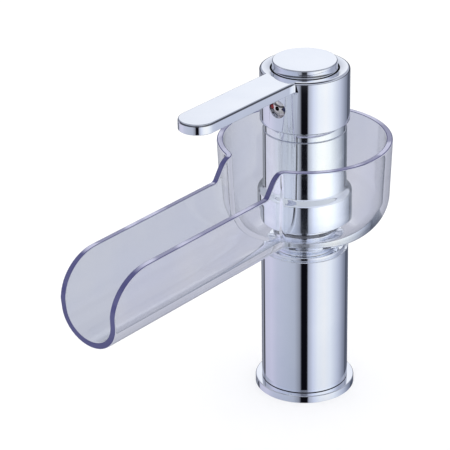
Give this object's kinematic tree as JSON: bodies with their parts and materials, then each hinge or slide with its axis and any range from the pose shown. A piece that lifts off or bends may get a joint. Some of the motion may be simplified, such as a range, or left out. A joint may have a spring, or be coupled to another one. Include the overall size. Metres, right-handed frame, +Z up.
{
  "type": "basin mixer",
  "caption": "Single-lever basin mixer: a chromed column, a clear open trough spout clamped round it, and a lever handle on a ceramic disc cartridge.",
  "frame": {"origin": "centre of the foot plate's underside, on the body's axis and in the plane of the deck that the mixer stands on", "axes": "+Z up along the body's axis; the spout and the lever at rest point along -Y; the hot side is -X"},
  "size_m": [0.091, 0.2129, 0.1862],
  "materials": {
    "chrome": "polished",
    "brass": "machined",
    "copper": "drawn",
    "rubber": "matte",
    "clear_rubber": "satin",
    "clear_plastic": "polished",
    "ceramic": "lapped",
    "cartridge_plastic": "moulded",
    "carrier_plastic": "moulded",
    "steel": "turned",
    "satin_plug": "satin plated",
    "red_plastic": "glossy",
    "blue_plastic": "glossy"
  },
  "bodies": {
    "body": {"base_flange": "chrome", "base_seal": "rubber", "foot_plate": "brass", "lower_body": "chrome", "hot_tube": "copper", "cold_tube": "copper", "tube_seals": "rubber", "lower_gasket": "clear_rubber", "trough": "clear_plastic", "upper_gasket": "clear_rubber", "outlet_ring": "chrome", "upper_body": "chrome", "manifold": "brass", "port_seals": "rubber", "cartridge_base": "cartridge_plastic", "fixed_disc": "ceramic", "cartridge_housing": "cartridge_plastic", "retaining_nut": "brass", "dress_ring": "chrome"},
    "turning": {"rotor": "steel", "rotor_seal": "rubber", "pivot_pin": "steel"},
    "lever": {"stem": "steel", "handle": "chrome", "handle_cap": "chrome", "grub_screw": "steel", "index_plug": "satin_plug", "hot_mark": "red_plastic", "cold_mark": "blue_plastic"},
    "disc": {"moving_disc": "ceramic", "disc_carrier": "carrier_plastic"}
  },
  "joints": [
    {"name": "handle_turn", "type": "hinge", "parent": "body", "child": "turning", "pos_m": [0, 0, 0.149], "axis": [0, 0, 1], "range_deg": [-50, 50]},
    {"name": "handle_lift", "type": "hinge", "parent": "turning", "child": "lever", "pos_m": [0, 0, 0.149], "axis": [-1, 0, 0], "range_deg": [0, 20]},
    {"name": "disc_slide", "type": "slide", "parent": "turning", "child": "disc", "axis": [0, -1, 0], "range_m": [0, 0.00504]}
  ],
  "couplings": [
    {"joint": "disc_slide", "follows": "handle_lift", "m_per_rad": 0.014427}
  ]
}
